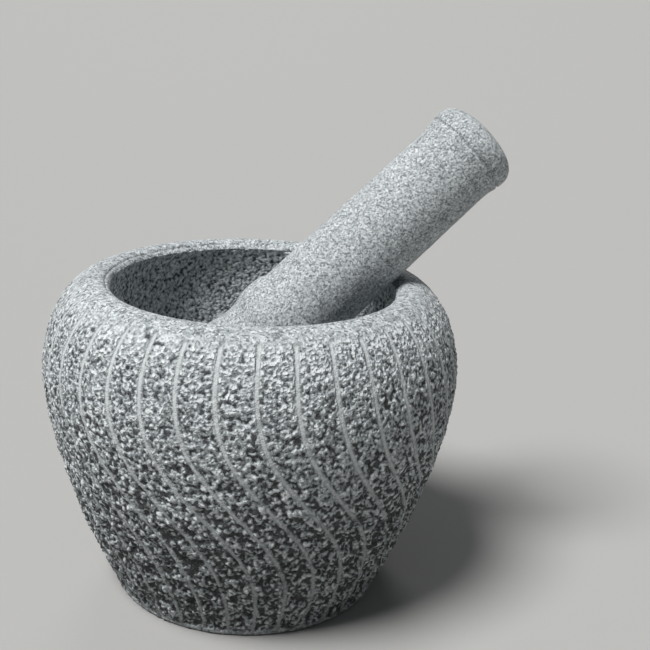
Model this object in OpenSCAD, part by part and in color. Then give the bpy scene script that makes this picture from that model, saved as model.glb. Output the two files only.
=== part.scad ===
// Stone mortar and pestle. The mortar is one turned block with a round shoulder, a flank
// that narrows to a flat foot, a round lip and a round bowl. The pestle is one turned piece
// that lies in the bowl and leans on the lip, towards +X. The mortar's outside is the outer
// bound of its rough, pecked surface.
// The origin is the centre of the mortar's flat resting face, and +Z is up.

/* [Mortar] */
// Diameter over the belly
body_d = 160; // [150:1:172]
// Height from the resting face to the crest of the lip
body_h = 123; // [116:1:130]
// Height of the widest place above the resting face
belly_z = 88; // [80:1:94]
// Diameter of the foot where its rounded edge starts
foot_d = 109; // [100:1:118]
// Radius of the rounded edge under the foot
foot_edge = 4; // [2:0.5:6]
// Power of the flank's curve, where 1 is a straight cone
flank_power = 1.6; // [1.3:0.1:2.2]

/* [Bowl] */
// Diameter of the opening, at the edge where the lip meets the bowl
mouth_d = 108; // [106:1:111]
// Diameter of the round bowl inside
bowl_d = 115; // [113:1:118]
// Diameter of the lip's crest
crest_d = 118.8; // [117:0.2:120]
// Radius of the lip from its crest to the edge of the bowl
lip_r = 6.5; // [6:0.5:9]

/* [Pestle] */
// Length from the end of the head to the end of the cap
pestle_l = 175.4; // [170:0.2:186]
// Diameter of the shaft under its flare
shaft_d = 34.2; // [33:0.2:35]
// Diameter of the shaft next to the bead
shaft_low_d = 35.8; // [35:0.2:37]
// Diameter of the grinding head
head_d = 46; // [43:1:48]
// Length of the head's straight part above its round end
head_straight = 8; // [4:1:12]
// Diameter of the neck between the head and the bead
neck_d = 36; // [34:0.5:38]
// Height of the neck above the end of the head
neck_z = 57; // [54:1:60]
// Diameter of the bead where the shaft starts
bead_d = 39.2; // [38:0.2:42]
// Height of the bead's widest place above the end of the head
bead_z = 67; // [66:1:74]
// Length of the bead's round side next to the shaft
bead_side = 8.5; // [6:0.5:10]
// Diameter of the shaft's flare at the groove
flare_d = 36; // [35:0.2:36]
// Length of the flare
flare_l = 7; // [5:1:12]
// Diameter of the rounded cap
cap_d = 36.5; // [36.5:0.1:39]
// Length of the cap beyond its groove
cap_l = 11.4; // [10:0.2:13]
// Height of the cap's round edge next to the groove
cap_edge = 1.6; // [1:0.2:3]
// Fullness of the cap's dome, where 2 is an ellipse
cap_power = 2.6; // [2:0.1:3.2]
// Radius of the groove under the cap
groove_r = 0.6; // [0.4:0.1:1.2]
// Angle between the resting pestle and the ground
lean = 43.7; // [41:0.1:46]
// Gap that keeps the resting pestle off the lip and the bowl
gap = 0.3; // [0.1:0.05:0.5]

/* [Hidden] */

// Mortar, in radius and height. The flank meets the foot's round edge and the shoulder
// without a corner, and the round lip meets the round bowl in an edge.
belly_r = body_d / 2;
foot_r = foot_d / 2;
bowl_r = bowl_d / 2;
foot_tilt = atan(flank_power * (belly_r - foot_r) / (belly_z - foot_edge / 2));
foot_top = foot_edge * (1 - sin(foot_tilt));
mouth_r = mouth_d / 2;
lip_x = crest_d / 2;
lip_z = body_h - lip_r;
edge_z = lip_z + sqrt(lip_r * lip_r - pow(lip_x - mouth_r, 2));
bowl_z = edge_z - sqrt(bowl_r * bowl_r - mouth_r * mouth_r);
shoulder_x = belly_r - lip_x;
shoulder_z = body_h - belly_z;
flank_steps = 10;
arc_step = 6;

// Pestle, in radius and distance from the end of its head.
head_r = head_d / 2;
neck_r = neck_d / 2;
bead_r = bead_d / 2;
cap_r = cap_d / 2;
shaft_r = shaft_d / 2;
shaft_low_r = shaft_low_d / 2;
groove_z = pestle_l - cap_l;
dome_z = groove_z + groove_r + cap_edge;
bead_end = bead_z + bead_side;
blend_start = head_r + head_straight;
blend_steps = 10;
cap_steps = 14;
flare_r = flare_d / 2;
flare_end = groove_z - groove_r;
flare_start = flare_end - flare_l;
flare_steps = 6;

// Where the pestle rests. Its axis lies in the XZ plane and passes axis_off from the
// bowl's centre, above it where positive. The head's centre is axis_drop down the axis.
lip_across = lip_x * sin(lean) - (lip_z - bowl_z) * cos(lean);
lip_along = lip_x * cos(lean) + (lip_z - bowl_z) * sin(lean);
axis_drop = sqrt(pow(bowl_r - head_r - gap, 2) - pow(axis_offset(shaft_low_r), 2));
rest_r = shaft_radius(head_r + axis_drop + lip_along);
axis_off = axis_offset(rest_r);
head_x = -axis_off * sin(lean) - axis_drop * cos(lean);
head_z = bowl_z + axis_off * cos(lean) - axis_drop * sin(lean);

function arc(x, z, rx, rz, from, to) =
    let (n = ceil(abs(to - from) / arc_step))
    [for (i = [0:n]) let (a = from + (to - from) * i / n) [x + rx * cos(a), z + rz * sin(a)]];

function flank_z(i) = foot_top + (belly_z - foot_top) * i / flank_steps;
function flank_part(z) = (belly_z - z) / (belly_z - foot_top);
function flank_radius(z) = belly_r - (belly_r - foot_r) * pow(flank_part(z), flank_power);

function flare_radius(t) = shaft_r + (flare_r - shaft_r) * t * t;

function blend(from_r, to_r, from_z, to_z) =
    [for (i = [1:blend_steps])
        let (t = i / blend_steps)
        [from_r + (to_r - from_r) * (1 - cos(180 * t)) / 2, from_z + (to_z - from_z) * t]];

function axis_offset(r) = r + lip_r + gap - lip_across;
function shaft_radius(z) = shaft_r + (shaft_low_r - shaft_r) * (groove_z - z) / (groove_z - bead_end);

// The outline runs from the middle of the foot up the flank, over the shoulder and the lip,
// and down the bowl.
module mortar() {
    color("darkgray")
        rotate_extrude($fn = 120)
            polygon(concat(
                [[0, 0]],
                arc(foot_r - foot_edge * cos(foot_tilt), foot_edge, foot_edge, foot_edge, -90, -foot_tilt),
                [for (i = [1:flank_steps - 1]) [flank_radius(flank_z(i)), flank_z(i)]],
                arc(lip_x, belly_z, shoulder_x, shoulder_z, 0, 90 - arc_step),
                arc(lip_x, lip_z, lip_r, lip_r, 90, atan2(edge_z - lip_z, mouth_r - lip_x)),
                arc(0, bowl_z, bowl_r, bowl_r, atan2(edge_z - bowl_z, mouth_r) - arc_step, -90)));
}

// The pestle stands on its head here: a round end, a barrel that sweeps in to the neck and out
// to the bead, a shaft that narrows a little and then flares to the groove, and a domed cap.
module pestle_piece() {
    rotate_extrude($fn = 96)
        polygon(concat(
            arc(0, head_r, head_r, head_r, -90, 0),
            [[head_r, blend_start]],
            blend(head_r, neck_r, blend_start, neck_z),
            blend(neck_r, bead_r, neck_z, bead_z),
            arc(shaft_low_r, bead_z, bead_r - shaft_low_r, bead_side, arc_step, 90),
            [for (i = [0:flare_steps])
                let (t = i / flare_steps)
                [flare_radius(t), flare_start + flare_l * t]],
            arc(flare_r, groove_z, -groove_r, groove_r, -80, 80),
            arc(flare_r, dome_z, cap_r - flare_r, cap_edge, -90, 0),
            [for (i = [1:cap_steps])
                let (t = sin(90 * i / cap_steps))
                [cap_r * pow(1 - pow(t, cap_power), 1 / cap_power), dome_z + (pestle_l - dome_z) * t]]));
}

module pestle() {
    color("gray")
        translate([head_x, 0, head_z])
            rotate([0, 90 - lean, 0])
                translate([0, 0, -head_r])
                    pestle_piece();
}

mortar();
pestle();
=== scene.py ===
"""A granite mortar with a pecked outside and swirl lines, and the pestle that leans in its bowl."""

import itertools
import math

import bpy
import numpy as np
from mathutils import Matrix, Vector


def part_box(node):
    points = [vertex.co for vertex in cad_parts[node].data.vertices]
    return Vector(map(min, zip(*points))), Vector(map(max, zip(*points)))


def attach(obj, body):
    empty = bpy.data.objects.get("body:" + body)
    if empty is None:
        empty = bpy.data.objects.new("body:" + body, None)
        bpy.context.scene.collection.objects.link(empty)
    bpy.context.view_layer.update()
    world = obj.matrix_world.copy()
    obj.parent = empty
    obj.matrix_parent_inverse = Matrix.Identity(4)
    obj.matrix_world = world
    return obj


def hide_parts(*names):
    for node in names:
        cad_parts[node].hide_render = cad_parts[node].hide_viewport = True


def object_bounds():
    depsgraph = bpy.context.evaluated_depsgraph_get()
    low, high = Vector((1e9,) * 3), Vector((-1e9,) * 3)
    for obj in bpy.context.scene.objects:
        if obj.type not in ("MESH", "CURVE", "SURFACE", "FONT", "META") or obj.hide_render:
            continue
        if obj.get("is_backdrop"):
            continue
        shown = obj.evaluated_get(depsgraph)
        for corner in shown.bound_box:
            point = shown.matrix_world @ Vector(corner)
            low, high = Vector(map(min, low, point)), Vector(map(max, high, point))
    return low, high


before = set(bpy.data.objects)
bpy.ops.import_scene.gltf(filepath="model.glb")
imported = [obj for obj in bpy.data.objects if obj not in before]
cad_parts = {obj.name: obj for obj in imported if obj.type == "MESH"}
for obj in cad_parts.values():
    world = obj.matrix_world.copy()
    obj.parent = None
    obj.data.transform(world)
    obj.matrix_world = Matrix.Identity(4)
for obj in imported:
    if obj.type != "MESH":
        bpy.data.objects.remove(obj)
cad_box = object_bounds()

MM = 0.001

# The mortar's sizes, in radius and height, as in the CAD part.
BELLY_R = 80 * MM
BELLY_Z = 88 * MM
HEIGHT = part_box("mortar")[1].z
FOOT_R = 54.5 * MM
FOOT_EDGE = 4 * MM
FLANK_POWER = 1.6
LIP_R = 6.5 * MM
LIP_X = 59.4 * MM
LIP_Z = HEIGHT - LIP_R
MOUTH_R = 54 * MM
BOWL_R = 57.5 * MM
EDGE_Z = LIP_Z + math.sqrt(LIP_R**2 - (LIP_X - MOUTH_R) ** 2)
BOWL_Z = EDGE_Z - math.sqrt(BOWL_R**2 - MOUTH_R**2)
FOOT_TILT = math.atan(FLANK_POWER * (BELLY_R - FOOT_R) / (BELLY_Z - FOOT_EDGE / 2))
FOOT_TOP = FOOT_EDGE * (1 - math.sin(FOOT_TILT))
# The part of the bowl's arc just under its edge that has finer rings, in radians.
EDGE_ARC = 0.02

# The swirl lines cut round the mortar.
LINES = 36
LINE_W = 1.75 * MM
LINE_DEPTH = 0.65 * MM
LINE_TURN = math.radians(51)
LINE_MID_Z = 59 * MM
LINE_EASE = 34 * MM
LINE_RETURN = math.radians(17)
LINE_WOBBLE = 0.9 * MM
LINE_TOP_R = 67.5 * MM
# Points round the mortar for each of the lines.
LINE_COLUMNS = 24

# The pecked stone between the lines: lumps with pits between them, and wide shallow dents. It
# starts between two radii over the shoulder, and ends at the rim of the foot.
LUMP, LUMP_DEPTH = 2.4 * MM, 0.75 * MM
GRIT, GRIT_DEPTH = 1.4 * MM, 0.4 * MM
DENT, DENT_DEPTH = 10 * MM, 0.9 * MM
ROUGH_FROM_R, ROUGH_TO_R = 65.5 * MM, 70 * MM
RIM_Z = 3 * MM
BRUISE_FINE, BRUISE_COARSE = 1.4 * MM, 1.85 * MM

# A faint ring turned into the lip, beside the edge of the bowl, over part of the way round. The
# edge is chipped, and the bowl is scuffed.
RING_OFF, RING_DEPTH = 2.6 * MM, 0.5 * MM
RING_TURN = math.radians(135)
CHIP_DEPTH = 0.6 * MM
SCUFF, SCUFF_DEPTH = 2 * MM, 0.4 * MM

# The pestle's sizes, in radius and distance from the end of its head, as in the CAD part.
PESTLE_L = 175.4 * MM
SHAFT_R = 17.1 * MM
SHAFT_LOW_R = 17.9 * MM
HEAD_R = 23 * MM
HEAD_STRAIGHT = 8 * MM
NECK_R = 18 * MM
NECK_Z = 57 * MM
BEAD_R = 19.6 * MM
BEAD_Z = 67 * MM
BEAD_SIDE = 8.5 * MM
BEAD_END = BEAD_Z + BEAD_SIDE
CAP_R = 18.25 * MM
CAP_L = 11.4 * MM
CAP_EDGE = 1.6 * MM
CAP_POWER = 2.6
GROOVE_R = 0.6 * MM
GROOVE_Z = PESTLE_L - CAP_L
FLARE_R = 18 * MM
FLARE_L = 7 * MM
FLARE_START = GROOVE_Z - GROOVE_R - FLARE_L
DOME_Z = GROOVE_Z + GROOVE_R + CAP_EDGE
LEAN = math.radians(43.7)
GAP = 0.3 * MM


# ---- repeatable noise ----

def random01(cell, seed):
    """A repeatable number from 0 to 1 for each row of whole numbers."""
    c = cell.astype(np.uint64)
    mixed = c[:, 0] * np.uint64(73856093) ^ c[:, 1] * np.uint64(19349663) ^ c[:, 2] * np.uint64(83492791)
    mixed ^= np.uint64(seed * 2654435761)
    for _ in range(2):
        mixed = (mixed ^ (mixed >> np.uint64(29))) * np.uint64(0xBF58476D1CE4E5B9)
    return (mixed >> np.uint64(40)).astype(float) / 2**24


def noise(points, size, seed):
    """Smooth numbers from -1 to 1 that change over about size metres."""
    q = points / size
    base = np.floor(q).astype(np.int64)
    f = q - base
    f = f * f * (3 - 2 * f)
    total = np.zeros(len(points))
    for corner in itertools.product((0, 1), repeat=3):
        share = np.prod(np.where(corner, f, 1 - f), axis=1)
        total += share * random01(base + np.array(corner), seed)
    return 2 * total - 1


def spots(points, size, seed):
    """Distance to the nearest of spots about size apart, as a share of size."""
    q = points / size
    base = np.floor(q).astype(np.int64)
    near = np.full(len(points), 9.0)
    for offset in itertools.product((-1, 0, 1), repeat=3):
        cell = base + np.array(offset)
        spot = cell + np.stack([random01(cell, seed + k) for k in range(3)], axis=1)
        near = np.minimum(near, np.linalg.norm(q - spot, axis=1))
    return near


def step(low, high, x):
    """0 below low, 1 above high, and smooth between them. With low above high it falls instead."""
    t = np.clip((x - low) / (high - low), 0, 1)
    return t * t * (3 - 2 * t)


# ---- turned shapes ----

def arc(x, z, rx, rz, start, end, count):
    """count points along part of an ellipse, in radius and height, with its ends in radians."""
    a = np.linspace(start, end, count)
    return np.stack([x + rx * np.cos(a), z + rz * np.sin(a)], axis=1)


def blend(from_r, to_r, from_z, to_z, count):
    """count points from one radius and height to another, parallel to the axis at both ends."""
    t = np.linspace(0, 1, count)
    r = from_r + (to_r - from_r) * (1 - np.cos(math.pi * t)) / 2
    return np.stack([r, from_z + (to_z - from_z) * t], axis=1)


def around(r, z, a):
    """Points at radius r and height z, turned by the angle a about the axis."""
    return np.stack([r * np.cos(a), r * np.sin(a), z], axis=1)


def outline_normals(outline):
    """The outward normals of an outline that runs up the outside."""
    along = np.gradient(outline, axis=0)
    normal = np.stack([along[:, 1], -along[:, 0]], axis=1)
    return normal / np.linalg.norm(normal, axis=1, keepdims=True)


def ring_faces(a, n, b, m):
    """The faces between a ring of n points that starts at a and the next one, of m points."""
    if n == m:
        return [(a + j, a + (j + 1) % n, b + (j + 1) % m, b + j) for j in range(n)]
    if n == 2 * m:
        return [
            (a + 2 * j, a + 2 * j + 1, a + (2 * j + 2) % n, b + (j + 1) % m, b + j) for j in range(m)
        ]
    return [(a + j, a + (j + 1) % n, b + (2 * j + 2) % m, b + 2 * j + 1, b + 2 * j) for j in range(n)]


def turned_faces(counts):
    """The faces of a closed turned shape: point 0 at the bottom, rings of points, and a last point.
    A ring has as many points as the one before it, or half or twice as many."""
    starts = 1 + np.concatenate([[0], np.cumsum(counts)[:-1]])
    starts = [int(s) for s in starts]
    first, last, end = counts[0], counts[-1], starts[-1] + counts[-1]
    faces = [(0, starts[0] + (j + 1) % first, starts[0] + j) for j in range(first)]
    for (a, n), (b, m) in itertools.pairwise(zip(starts, counts)):
        faces += ring_faces(a, n, b, m)
    faces += [(starts[-1] + j, starts[-1] + (j + 1) % last, end) for j in range(last)]
    return faces


def mesh_object(name, points, faces, numbers):
    """A smooth mesh, with one number for each point under each name in numbers."""
    mesh = bpy.data.meshes.new(name)
    mesh.from_pydata(points.tolist(), [], faces)
    mesh.shade_smooth()
    for key, values in numbers.items():
        mesh.attributes.new(key, "FLOAT", "POINT").data.foreach_set("value", values.astype(np.float32))
    obj = bpy.data.objects.new(name, mesh)
    bpy.context.scene.collection.objects.link(obj)
    return obj


# ---- mortar ----

def flank_radius(z):
    """The radius of the turned flank at height z."""
    part = (BELLY_Z - z) / (BELLY_Z - FOOT_TOP)
    return BELLY_R - (BELLY_R - FOOT_R) * part**FLANK_POWER


def line_turn(z):
    """How far round a swirl line has turned at height z."""
    eased = (1 + np.tanh((LINE_MID_Z - z) / LINE_EASE)) / 2
    return LINE_TURN * eased - LINE_RETURN * (HEIGHT - z) / HEIGHT


def mortar_outline():
    """The outline from under the foot to the bottom of the bowl, the number of points round each
    of its rings, and how many of the rings are on the outside."""
    foot_x = FOOT_R - FOOT_EDGE * math.cos(FOOT_TILT)
    under = np.stack([np.linspace(6 * MM, foot_x, 9)[:-1], np.zeros(8)], axis=1)
    foot = arc(foot_x, FOOT_EDGE, FOOT_EDGE, FOOT_EDGE, -math.pi / 2, -FOOT_TILT, 7)
    z = np.linspace(FOOT_TOP, BELLY_Z, 145)[1:]
    flank = np.stack([flank_radius(z), z], axis=1)
    shoulder = arc(LIP_X, BELLY_Z, BELLY_R - LIP_X, HEIGHT - BELLY_Z, 0, math.pi / 2, 70)[1:]
    lip_end = math.atan2(EDGE_Z - LIP_Z, MOUTH_R - LIP_X)
    lip = arc(LIP_X, LIP_Z, LIP_R, LIP_R, math.pi / 2, lip_end, 16)[1:]
    bowl_start = math.atan2(EDGE_Z - BOWL_Z, MOUTH_R)
    edge_end = bowl_start - EDGE_ARC
    edge = arc(0, BOWL_Z, BOWL_R, BOWL_R, bowl_start, edge_end, 5)[1:]
    bowl = arc(0, BOWL_Z, BOWL_R, BOWL_R, edge_end, -math.pi / 2, 60)[1:-1]
    full = LINE_COLUMNS * LINES
    counts = [full // 8] * 2 + [full // 4] * 3 + [full // 2] * 3
    outside = len(foot) + len(flank) + len(shoulder)
    counts += [full] * (outside + len(lip) + len(edge))
    counts += [full // 2] * 30 + [full // 4] * 20 + [full // 8] * (len(bowl) - 50)
    return np.concatenate([under, foot, flank, shoulder, lip, edge, bowl]), counts, len(under) + outside


def column_angles():
    """Angles round a full ring, closer together along the middle of each swirl line."""
    half = LINE_COLUMNS // 2
    x = np.arange(-half, half) / half
    sector = (0.88 * x + 0.12 * x**3) * math.pi / LINES
    return (np.arange(LINES)[:, None] * 2 * math.pi / LINES + sector).ravel()


def pecked_depth(points):
    """How far the small pits and the wide dents lie below the turned shape. Both get deeper from
    the top down."""
    z = points[:, 2]
    low = 1 - step(30 * MM, 95 * MM, z)
    high = step(100 * MM, 121 * MM, z)
    bent = points + 0.6 * MM * np.stack([noise(points, 2 * MM, k) for k in (1, 2, 3)], axis=1)
    lump = step(0.2, 0.8, spots(bent, LUMP, 10))
    grit = step(0.15, 0.75, spots(bent, GRIT, 20))
    near = spots(bent * np.array([1, 1, 1.5]), DENT, 30)
    dent = 1 - step(0.2, 0.65, near)
    wave = 0.5 + 0.5 * noise(points, 6 * MM, 40)
    small = (lump * LUMP_DEPTH * (0.8 + 0.5 * low) + grit * GRIT_DEPTH) * (1 - 0.65 * high)
    wide = wave * (0.3 + 0.7 * low) * MM * (1 - 0.65 * high)
    return small, wide + dent * DENT_DEPTH * (0.15 + 0.85 * low) * (1 - high)


class MortarPoints:
    """The turned mortar before any stone is cut away: the number of points in each ring, and for
    every point its place, the way out of the stone and how far it is from a swirl line."""

    def __init__(self):
        outline, self.counts, outside_rows = mortar_outline()
        rows = np.repeat(np.arange(len(self.counts)), self.counts)
        columns = column_angles()
        share = np.concatenate([columns[:: len(columns) // n] for n in self.counts])
        turn = line_turn(np.where(np.arange(len(outline)) < outside_rows, outline[:, 1], HEIGHT))
        along = np.linalg.norm(np.gradient(outline, axis=0), axis=1)
        slant = np.arctan(outline[:, 0] * np.gradient(turn) / along)[rows]
        sector = 2 * math.pi / LINES
        self.outside = rows < outside_rows
        self.r, self.z = outline[rows].T
        self.off_line = np.abs((share / sector + 0.5) % 1 - 0.5) * sector * self.r * np.cos(slant)
        self.straight = around(self.r, self.z, share + turn[rows])
        self.a = share + turn[rows] + LINE_WOBBLE / BELLY_R * noise(self.straight, 30 * MM, 4)
        self.points = around(self.r, self.z, self.a)
        self.normals = around(*outline_normals(outline)[rows].T, self.a)
        self.ragged_r = self.r + 1.5 * MM * noise(self.points, 5 * MM, 50)


def rough_share(m):
    """Where the stone is pecked: beyond the smooth lip and above the flat under the foot."""
    over = step(ROUGH_FROM_R, ROUGH_TO_R, m.ragged_r)
    return np.where(m.z > BELLY_Z, over, step(0, RIM_Z, m.z)) * m.outside


def line_share(m):
    """Where the swirl lines are. They fade out at the top, and low down they are narrower and
    break up."""
    width = LINE_W * (0.8 + 0.2 * step(40 * MM, 95 * MM, m.z) + 0.2 * noise(m.points, 2.5 * MM, 60))
    line = (1 - step(0.3 * width, 0.7 * width, m.off_line)) * step(0, RIM_Z, m.z) * m.outside
    line *= np.where(m.z > BELLY_Z, step(LINE_TOP_R - 1 * MM, LINE_TOP_R + 1 * MM, m.ragged_r), 1)
    return line * (1 - step(0.25, 0.7, noise(m.points, 5 * MM, 65)) * step(110 * MM, 40 * MM, m.z))


def edge_wear(m):
    """The depth of the small chips at the bowl's edge and of the faint ring in the lip."""
    off_edge = np.hypot(m.r - MOUTH_R, m.z - EDGE_Z)
    chips = (1 - step(0, 1.5 * MM, off_edge)) * step(-0.1, 0.8, noise(m.points, 2.2 * MM, 88))
    off_ring = np.abs(off_edge - RING_OFF - 0.5 * MM * noise(m.points, 9 * MM, 87))
    ring = (1 - step(0.1 * MM, 0.55 * MM, off_ring)) * step(0.2, 0.8, np.cos(m.a - RING_TURN))
    return chips * CHIP_DEPTH + ring * (m.z > EDGE_Z) * RING_DEPTH


def make_mortar():
    m = MortarPoints()
    rough, line = rough_share(m), line_share(m)
    small, wide = pecked_depth(m.points)
    floor = LINE_DEPTH * (1 + step(95 * MM, 40 * MM, m.z)) + 0.15 * MM * noise(m.points, 2 * MM, 70)
    honed = 0.04 * MM * (1 + noise(m.points, 2.5 * MM, 80)) * step(0, 2 * MM, m.z)
    inside = np.where(m.outside, 0, 1 - step(EDGE_Z - 2 * MM, EDGE_Z, m.z))
    scuffed = inside * SCUFF_DEPTH * step(0.2, 0.8, spots(m.points, SCUFF, 85))
    depth = rough * (small + wide) * (1 - line) + floor * line + honed + scuffed + edge_wear(m)
    points = m.points - depth[:, None] * m.normals
    points = np.concatenate([[[0, 0, 0]], points, [[0, 0, BOWL_Z - BOWL_R]]])

    # What the material needs at each point. The marks of the pecking get coarser low down, and the
    # lines' colour darkens low down: painted shade, for the lower flank that gets less light.
    line *= 0.7 + 0.25 * step(40 * MM, 100 * MM, m.z) + 0.1 * noise(m.straight, 1.5 * MM, 68)
    low = 0.1 + 0.9 * step(105 * MM, 45 * MM, m.z)
    numbers = {
        "rough": rough * (1 - line) + inside,
        "line": line,
        "worn": step(EDGE_Z - 0.5 * MM, EDGE_Z, m.z) * (1 - rough),
        # How deep each point lies, which the material turns into painted shade. The wide dents count
        # less, the scuffs twice, and the bowl counts as 0.35 mm shallower.
        "depth": (depth - 0.6 * rough * wide + 2 * scuffed - 0.35 * MM * inside) / MM,
        "coarse": step(0.3, 0.7, low + 0.6 * noise(m.straight, 7 * MM, 95)) * m.outside,
        # Painted shade: the outside darkens towards the foot.
        "painted_low_shade": (1 - step(15 * MM, 80 * MM, m.z)) * m.outside,
    }
    numbers = {key: np.concatenate([[0], values, [0]]) for key, values in numbers.items()}
    return mesh_object("mortar_stone", points, turned_faces(m.counts), numbers)


# ---- pestle ----

def pestle_outline():
    """The outline from the end of the head to the end of the cap."""
    head = arc(0, HEAD_R, HEAD_R, HEAD_R, -math.pi / 2, 0, 50)[1:]
    start = HEAD_R + HEAD_STRAIGHT
    straight = np.stack([np.full(9, HEAD_R), HEAD_R + HEAD_STRAIGHT * np.linspace(0.1, 0.9, 9)], axis=1)
    barrel = blend(HEAD_R, NECK_R, start, NECK_Z, 36)
    swell = blend(NECK_R, BEAD_R, NECK_Z, BEAD_Z, 16)[1:-1]
    bead = arc(SHAFT_LOW_R, BEAD_Z, BEAD_R - SHAFT_LOW_R, BEAD_SIDE, 0, math.pi / 2, 20)
    shaft_r = np.linspace(SHAFT_LOW_R, SHAFT_R, 120)
    shaft = np.stack([shaft_r, np.linspace(BEAD_END, FLARE_START, 120)], axis=1)[1:]
    t = np.linspace(0, 1, 15)[1:-1]
    flare = np.stack([SHAFT_R + (FLARE_R - SHAFT_R) * t**2, FLARE_START + FLARE_L * t], axis=1)
    groove = arc(FLARE_R, GROOVE_Z, -GROOVE_R, GROOVE_R, -1.4, 1.4, 9)
    edge = arc(FLARE_R, DOME_Z, CAP_R - FLARE_R, CAP_EDGE, -math.pi / 2, 0, 8)
    t = np.sin(np.linspace(0, math.pi / 2, 50))[1:-1]
    cap = CAP_R * (1 - t**CAP_POWER) ** (1 / CAP_POWER)
    cap = np.stack([cap, DOME_Z + (PESTLE_L - DOME_Z) * t], axis=1)
    return np.concatenate([head, straight, barrel, swell, bead, shaft, flare, groove, edge, cap])


def axis_offset(radius):
    """How far from the bowl's centre the axis of a shaft of that radius passes, on the lip."""
    across = LIP_X * math.sin(LEAN) - (LIP_Z - BOWL_Z) * math.cos(LEAN)
    return radius + LIP_R + GAP - across


def pestle_place():
    """The matrix that lays the pestle in the bowl, leaning on the lip towards +X, as in the CAD
    part. Both take the shaft's taper as running on to the groove."""
    along = LIP_X * math.cos(LEAN) + (LIP_Z - BOWL_Z) * math.sin(LEAN)
    drop = math.sqrt((BOWL_R - HEAD_R - GAP) ** 2 - axis_offset(SHAFT_LOW_R) ** 2)
    part = (GROOVE_Z - HEAD_R - drop - along) / (GROOVE_Z - BEAD_END)
    off = axis_offset(SHAFT_R + (SHAFT_LOW_R - SHAFT_R) * part)
    x = -off * math.sin(LEAN) - drop * math.cos(LEAN)
    z = BOWL_Z + off * math.cos(LEAN) - drop * math.sin(LEAN)
    turned = Matrix.Rotation(math.pi / 2 - LEAN, 4, "Y")
    return Matrix.Translation((x, 0, z)) @ turned @ Matrix.Translation((0, 0, -HEAD_R))


def groove_wear(points, off_groove):
    """The depth of the small chips beside the groove, less the height to which it is filled."""
    chips = (1 - step(0.2 * MM, 1.6 * MM, off_groove)) * step(0.3, 0.7, noise(points, 3 * MM, 90))
    groove = np.sqrt(np.clip(GROOVE_R**2 - off_groove**2, 0, None))
    return 0.35 * MM * chips - 0.35 * (1 + noise(points, 14 * MM, 92)) * groove


def make_pestle():
    outline = pestle_outline()
    counts = [60] * 6 + [120] * 10 + [240] * (len(outline) - 32) + [120] * 10 + [60] * 6
    rows = np.repeat(np.arange(len(counts)), counts)
    a = np.concatenate([np.arange(n) * 2 * math.pi / n for n in counts])
    r, z = outline[rows].T
    points = around(r, z, a)
    off_groove = np.abs(z - GROOVE_Z)
    depth = 0.06 * MM * (1 + noise(points, 2.5 * MM, 91)) + groove_wear(points, off_groove)
    points -= depth[:, None] * around(*outline_normals(outline)[rows].T, a)
    points = np.concatenate([[[0, 0, 0]], points, [[0, 0, PESTLE_L]]])
    # How deep each point lies, deepest across the groove, for the painted shade in the groove and in the
    # chips beside it.
    cut = depth + GROOVE_R * (1 - step(0, 1.2 * GROOVE_R, off_groove))
    numbers = {"depth": np.concatenate([[0], cut / MM, [0]])}
    piece = mesh_object("pestle_stone", points, turned_faces(counts), numbers)
    piece.data.transform(pestle_place())
    return piece


# ---- materials ----

class Nodes:
    """Makes a material's nodes, each with its settings and links in one call."""

    def __init__(self, name):
        self.material = bpy.data.materials.new(name)
        self.material.use_nodes = True
        self.tree = self.material.node_tree
        self.shader = self.tree.nodes["Principled BSDF"]

    def add(self, kind, links=None, **settings):
        node = self.tree.nodes.new("ShaderNode" + kind)
        for key, value in settings.items():
            setattr(node, key, value)
        for socket, source in (links or {}).items():
            self.put(node.inputs[socket], source)
        return node

    def put(self, socket, source):
        if isinstance(source, bpy.types.NodeSocket):
            self.tree.links.new(source, socket)
        else:
            socket.default_value = source

    def math(self, operation, *sources):
        return self.add("Math", dict(enumerate(sources)), operation=operation).outputs[0]

    def mix(self, factor, a, b, blend="MIX"):
        node = self.add("Mix", data_type="RGBA", blend_type=blend)
        self.put(node.inputs["Factor"], factor)
        self.put(node.inputs[6], a)
        self.put(node.inputs[7], b)
        return node.outputs[2]

    def ramp(self, factor, stops):
        """stops are (place, grey or colour) pairs."""
        node = self.add("ValToRGB", {"Fac": factor})
        ramp = node.color_ramp
        while len(ramp.elements) < len(stops):
            ramp.elements.new(1)
        for element, (place, colour) in zip(ramp.elements, stops):
            element.position = place
            element.color = (*((colour,) * 3 if isinstance(colour, float) else colour), 1)
        return node.outputs["Color"]

    def range(self, value, low, high, to_low=0.0, to_high=1.0):
        links = {"Value": value, "From Min": low, "From Max": high, "To Min": to_low, "To Max": to_high}
        return self.add("MapRange", links).outputs["Result"]

    def attribute(self, name):
        return self.add("Attribute", attribute_name=name).outputs["Fac"]


WHITE = (0.735, 0.76, 0.77)
PALE = (0.513, 0.545, 0.555)
GREY = (0.296, 0.325, 0.335)
DARK = (0.070, 0.078, 0.084)
BLACK = (0.028, 0.028, 0.03)
# The lines' colour low down and high up. The change between them is painted shade.
CUT_LOW = (0.34, 0.36, 0.365)
CUT_HIGH = (0.54, 0.565, 0.57)


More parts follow.
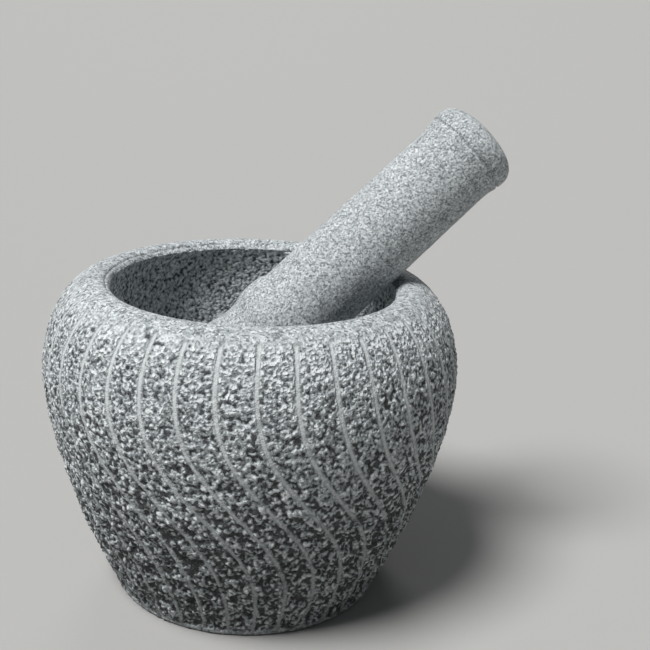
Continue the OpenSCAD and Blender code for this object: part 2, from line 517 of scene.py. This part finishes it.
def grains(n, size, shares, seed):
    """Mineral grains of about that size: a share of dark ones, then grey, pale and white."""
    place = n.add("TexCoord").outputs["Object"]
    shifted = n.add("VectorMath", {0: place, 1: (seed, seed, seed)}, operation="ADD").outputs[0]
    bend = n.add("TexNoise", {"Vector": shifted, "Scale": 0.6 / size, "Detail": 2.0}).outputs["Color"]
    bend = n.add("VectorMath", {0: bend, 1: (0.5, 0.5, 0.5)}, operation="SUBTRACT").outputs[0]
    bend = n.add("VectorMath", {0: bend, "Scale": 1.4 * size}, operation="SCALE").outputs[0]
    bent = n.add("VectorMath", {0: shifted, 1: bend}, operation="ADD").outputs[0]
    cells = n.add("TexVoronoi", {"Vector": bent, "Scale": 1 / size}).outputs["Color"]
    pick = n.add("SeparateColor", {"Color": cells}).outputs[0]
    dark, grey, pale = np.cumsum(shares)
    edge = 0.02
    stops = [
        (0.0, DARK), (dark - edge, DARK), (dark + edge, GREY), (grey - edge, GREY),
        (grey + edge, PALE), (pale - edge, PALE), (pale + edge, WHITE),
    ]
    return n.ramp(pick, stops)


def granite(n, coarse, fine, shares, calm):
    """Coarse and fine grains in patches, with slow changes of tone. calm, from 0 to 1, evens out
    their colours."""
    place = n.add("TexCoord").outputs["Object"]
    patch = n.add("TexNoise", {"Vector": place, "Scale": 0.7 / coarse, "Detail": 2.0}).outputs["Fac"]
    stone = n.mix(n.range(patch, 0.4, 0.6), grains(n, coarse, shares, 0.0), grains(n, fine, shares, 3.7))
    stone = n.mix(calm, stone, (*PALE, 1))
    tone = n.add("TexNoise", {"Vector": place, "Scale": 25.0, "Detail": 3.0}).outputs["Fac"]
    return n.mix(1.0, stone, n.ramp(tone, [(0.3, 0.86), (0.7, 1.0)]), "MULTIPLY")


def finish_stone(n, colour, relief, distance):
    """Joins the colour and a fine bump to the shader."""
    bump = n.add("Bump", {"Height": relief, "Distance": distance, "Strength": 1.0})
    n.put(n.shader.inputs["Base Color"], colour)
    n.put(n.shader.inputs["Normal"], bump.outputs["Normal"])
    n.shader.inputs["Roughness"].default_value = 0.78
    n.shader.inputs["Specular IOR Level"].default_value = 0.25
    return n.material


def fine_relief(n):
    """Fine grit with small pores in it."""
    place = n.add("TexCoord").outputs["Object"]
    grit = n.add("TexNoise", {"Vector": place, "Scale": 1 / (0.8 * MM), "Detail": 3.0}).outputs["Fac"]
    pores = n.add("TexVoronoi", {"Vector": place, "Scale": 1 / (0.9 * MM)}).outputs["Distance"]
    return n.math("ADD", grit, n.range(pores, 0.0, 0.35, -0.6, 0.0))


def bruises(n, size, contrast):
    """Marks of about that size, high where the stone is bruised white."""
    place = n.add("TexCoord").outputs["Object"]
    blobs = n.add("TexNoise", {"Vector": place, "Scale": 1 / size, "Detail": 1.0}).outputs["Fac"]
    tops = n.add("TexVoronoi", {"Vector": place, "Scale": 0.95 / size}).outputs["Distance"]
    blobs = n.math("ADD", blobs, n.range(tops, 0.1, 0.7, 0.20, -0.14))
    return n.math("ADD", n.math("MULTIPLY", blobs, contrast), 0.5 * (1 - contrast))


def mortar_material():
    n = Nodes("pecked_granite")
    depth, rough, line, worn = (n.attribute(key) for key in ("depth", "rough", "line", "worn"))
    stone = granite(n, 1.0 * MM, 0.6 * MM, (0.26, 0.30, 0.26), n.math("MULTIPLY", worn, 0.2))

    # Bruised white tops and dark pits, a little at random: the stone's own marks. On top of that comes
    # painted shade: the colour darkens the deeper a point lies in the pits, dents, scuffs and chips.
    fine, coarse = bruises(n, BRUISE_FINE, 0.97), bruises(n, BRUISE_COARSE, 1.4)
    blobs = n.mix(n.attribute("coarse"), fine, coarse)
    peak = n.math("SUBTRACT", blobs, n.range(depth, 0.1, 2.5, 0.0, 0.6))
    pecked = n.ramp(peak, [(0.16, BLACK), (0.30, GREY), (0.44, PALE), (0.60, WHITE)])
    colour = n.mix(rough, stone, n.mix(0.1, pecked, stone))
    # Painted shade: the lines darken from CUT_HIGH at the top to CUT_LOW low down.
    cut = n.ramp(line, [(0.65, CUT_LOW), (0.95, CUT_HIGH)])
    colour = n.mix(n.math("MULTIPLY", line, 0.9), colour, cut)
    # Painted shade: the outside darkens towards the foot, down to 0.72 of its colour.
    colour = n.mix(1.0, colour, n.ramp(n.attribute("painted_low_shade"), [(0.0, 1.0), (1.0, 0.72)]), "MULTIPLY")
    knobs = n.math("MULTIPLY", n.range(peak, 0.3, 0.6), n.math("MULTIPLY", rough, 2.0))
    relief = n.math("ADD", fine_relief(n), knobs)
    return finish_stone(n, colour, relief, 0.3 * MM)


def pestle_material():
    n = Nodes("honed_granite")
    stone = granite(n, 0.7 * MM, 0.45 * MM, (0.26, 0.32, 0.26), 0.2)
    # Painted shade: the colour darkens in the groove and in the chips beside it.
    painted_groove_shade = n.ramp(n.range(n.attribute("depth"), 0.15, 0.9), [(0.0, 1.0), (1.0, 0.5)])
    colour = n.mix(1.0, stone, painted_groove_shade, "MULTIPLY")
    return finish_stone(n, colour, fine_relief(n), 0.12 * MM)


# ---- camera, light and floor ----

CAM_TURN = math.radians(14.87)
CAM_DOWN = math.radians(18.33)
CAM_ROLL = math.radians(2.84)
CAM_DISTANCE = 424.1 * MM
CAM_TARGET = Vector((26.7, -7.1, 105.4)) * MM
CAM_LENS = 60.92

SIDE = Vector((math.cos(CAM_TURN), -math.sin(CAM_TURN), 0))
AHEAD = Vector((math.sin(CAM_TURN), math.cos(CAM_TURN), 0))
UP = Vector((0, 0, 1))

FLOOR = (0.37, 0.365, 0.355)
FLOOR_HALF = 30.0
HORIZON = (0.50, 0.495, 0.485)
SKY = (0.096, 0.103, 0.110)
SKY_FROM, SKY_TO = 0.03, 0.16


def make_camera():
    forward = AHEAD * math.cos(CAM_DOWN) - UP * math.sin(CAM_DOWN)
    up = SIDE.cross(forward)
    x = SIDE * math.cos(CAM_ROLL) + up * math.sin(CAM_ROLL)
    y = up * math.cos(CAM_ROLL) - SIDE * math.sin(CAM_ROLL)
    data = bpy.data.cameras.new("camera")
    data.lens = CAM_LENS
    data.sensor_width = 36
    camera = bpy.data.objects.new("camera", data)
    place = Matrix((x, y, -forward)).transposed().to_4x4()
    place.translation = CAM_TARGET - forward * CAM_DISTANCE
    camera.matrix_world = place
    bpy.context.scene.collection.objects.link(camera)
    bpy.context.scene.camera = camera


def make_sun(name, towards, strength, softness):
    """A distant lamp that shines from the direction towards, with softness in degrees."""
    data = bpy.data.lights.new(name, "SUN")
    data.energy = strength
    data.angle = math.radians(softness)
    lamp = bpy.data.objects.new(name, data)
    lamp.rotation_euler = towards.to_track_quat("Z", "Y").to_euler()
    bpy.context.scene.collection.objects.link(lamp)


def make_sky():
    """A dim studio, with a band round the horizon that carries on the tone of the floor."""
    world = bpy.data.worlds.new("studio")
    world.use_nodes = True
    tree = world.node_tree
    direction = tree.nodes.new("ShaderNodeTexCoord").outputs["Generated"]
    height = tree.nodes.new("ShaderNodeSeparateXYZ")
    ramp = tree.nodes.new("ShaderNodeValToRGB")
    ramp.color_ramp.elements[0].position = SKY_FROM
    ramp.color_ramp.elements[0].color = (*HORIZON, 1)
    ramp.color_ramp.elements[1].position = SKY_TO
    ramp.color_ramp.elements[1].color = (*SKY, 1)
    tree.links.new(direction, height.inputs[0])
    tree.links.new(height.outputs["Z"], ramp.inputs["Fac"])
    tree.links.new(ramp.outputs["Color"], tree.nodes["Background"].inputs["Color"])
    bpy.context.scene.world = world


def make_floor():
    mesh = bpy.data.meshes.new("floor")
    corners = [(x * FLOOR_HALF, y * FLOOR_HALF, 0) for x, y in ((-1, -1), (1, -1), (1, 1), (-1, 1))]
    mesh.from_pydata(corners, [], [(0, 1, 2, 3)])
    floor = bpy.data.objects.new("floor", mesh)
    bpy.context.scene.collection.objects.link(floor)
    n = Nodes("floor")
    n.shader.inputs["Base Color"].default_value = (*FLOOR, 1)
    n.shader.inputs["Roughness"].default_value = 0.9
    mesh.materials.append(n.material)
    floor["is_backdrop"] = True


def place_piece(piece, body, material):
    """Puts a finished piece on its body, in place of the CAD node of the same name."""
    piece.data.materials.append(material)
    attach(piece, body)
    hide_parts(body)


make_camera()
make_sun("key", UP * 1.2 - SIDE * 0.5 - AHEAD * 0.45, strength=4.3, softness=24)
make_sun("rim", UP * 0.6 + AHEAD * 1.0 - SIDE * 0.1, strength=0.5, softness=20)
make_floor()
make_sky()
bpy.context.scene.view_settings.view_transform = "Standard"
place_piece(make_mortar(), "mortar", mortar_material())
place_piece(make_pestle(), "pestle", pestle_material())

sizes = {"cad": cad_box, "visual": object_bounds()}
sizes = {key: [list(corner) for corner in corners] for key, corners in sizes.items()}
